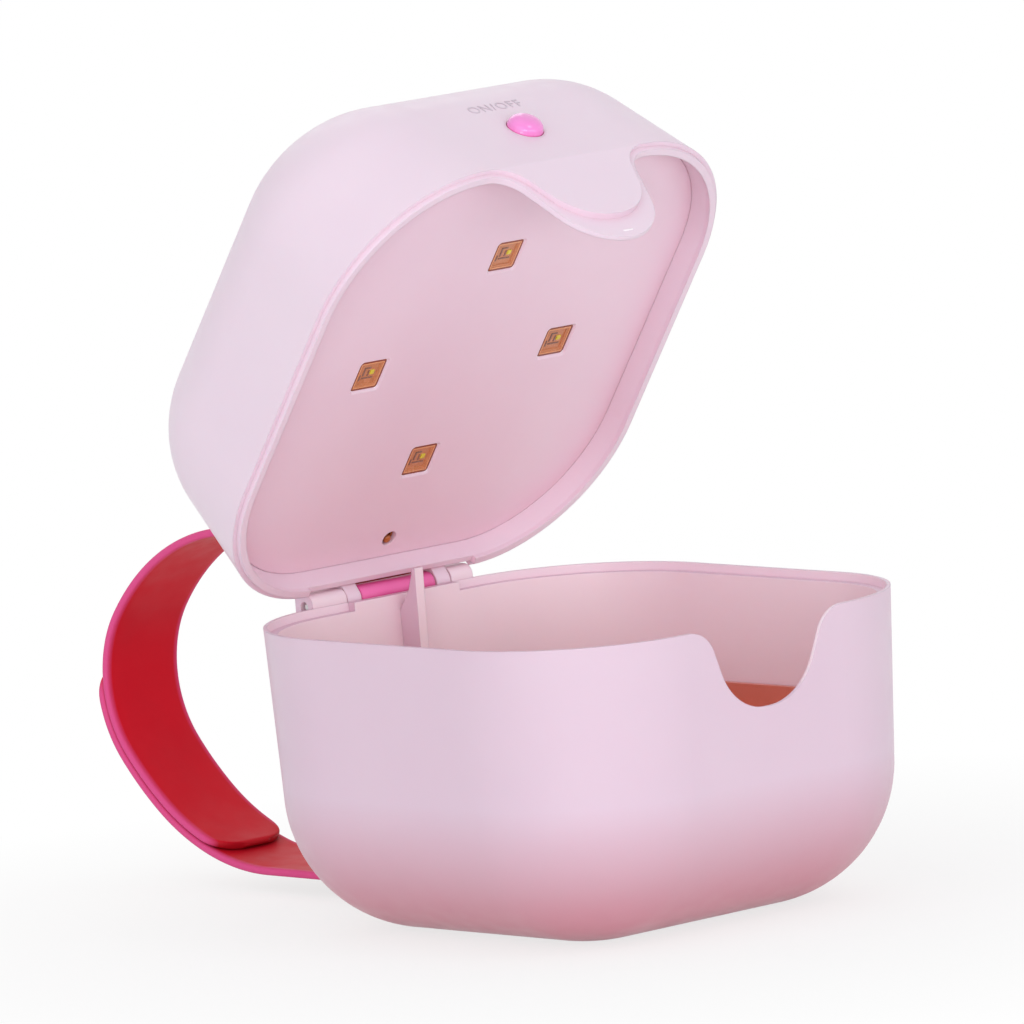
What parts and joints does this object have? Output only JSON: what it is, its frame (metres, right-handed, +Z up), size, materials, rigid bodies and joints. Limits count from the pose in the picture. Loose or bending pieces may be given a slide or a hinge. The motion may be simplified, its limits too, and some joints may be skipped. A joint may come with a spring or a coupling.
{
  "type": "pacifier sterilizer case",
  "caption": "Pocket case with a hinged lid that shines ultraviolet lamps on a pacifier, with a ribbon notch, a push button and a silicone carrying strap.",
  "frame": {"origin": "centre of the flat face that the case stands on", "axes": "+Z up, -Y towards the front, where the notch is, and +X to the right seen from the front"},
  "size_m": [0.075, 0.1324, 0.1147],
  "materials": {
    "case_plastic": "satin moulded plastic, fine grain",
    "panel_plastic": "satin moulded plastic",
    "liner_metal": "pressed, copper-toned, bright",
    "pin_steel": "ground",
    "strap_silicone": "soft silicone",
    "button_rubber": "translucent, glossy",
    "board_laminate": "solder mask",
    "board_aluminium": "white-coated",
    "chip_resin": "moulded resin",
    "lamp_ceramic": "copper-brown package",
    "lamp_glass": "clear",
    "screw_steel": "bright zinc",
    "socket_steel": "stamped",
    "battery_wrap": "foil pouch",
    "pad_foam": "foam tape",
    "connector_nylon": "moulded nylon",
    "lead_sleeve": "wire sleeve",
    "switch_resin": "moulded resin",
    "plunger_resin": "moulded resin",
    "indicator_resin": "clear resin"
  },
  "bodies": {
    "base": {"base_shell": "case_plastic", "chamber_liner": "liner_metal", "hinge_pin": "pin_steel"},
    "lid": {"lid_shell": "case_plastic", "led_panel": "panel_plastic", "led_board": "board_aluminium", "interlock_switch": "switch_resin", "control_board": "board_laminate", "control_board_screws": "screw_steel", "control_chips": "chip_resin", "board_header": "connector_nylon", "charging_port": "socket_steel", "battery_pad": "pad_foam", "battery": "battery_wrap", "battery_connector": "connector_nylon", "battery_leads": "lead_sleeve", "tact_switch": "switch_resin", "switch_board": "board_laminate", "switch_board_screws": "screw_steel", "indicator_led": "indicator_resin", "uv_led_1": "lamp_ceramic", "led_window_1": "lamp_glass", "uv_led_2": "lamp_ceramic", "led_window_2": "lamp_glass", "uv_led_3": "lamp_ceramic", "led_window_3": "lamp_glass", "uv_led_4": "lamp_ceramic", "led_window_4": "lamp_glass"},
    "strap": {"strap": "strap_silicone"},
    "button": {"power_button": "button_rubber", "tact_plunger": "plunger_resin"},
    "interlock": {"interlock_plunger": "plunger_resin"}
  },
  "joints": [
    {"name": "lid_hinge", "type": "hinge", "parent": "base", "child": "lid", "pos_m": [0, 0.039, 0.0435], "axis": [-1, 0, 0], "range_deg": [-55, 15]},
    {"name": "strap_swing", "type": "hinge", "parent": "base", "child": "strap", "pos_m": [0, 0.039, 0.0435], "axis": [1, 0, 0], "range_deg": [0, 6]},
    {"name": "button_press", "type": "slide", "parent": "lid", "child": "button", "axis": [0, 0.4313, -0.9022], "range_m": [0, 0.0005], "stiffness_N_per_m": 1500, "springref_m": -0.0005},
    {"name": "interlock_press", "type": "slide", "parent": "lid", "child": "interlock", "axis": [0, 0.8192, 0.5736], "range_m": [-0.0002, 0.0006]}
  ],
  "couplings": [
    {"joint": "interlock_press", "follows": "lid_hinge", "m_per_rad": -0.00062504}
  ]
}
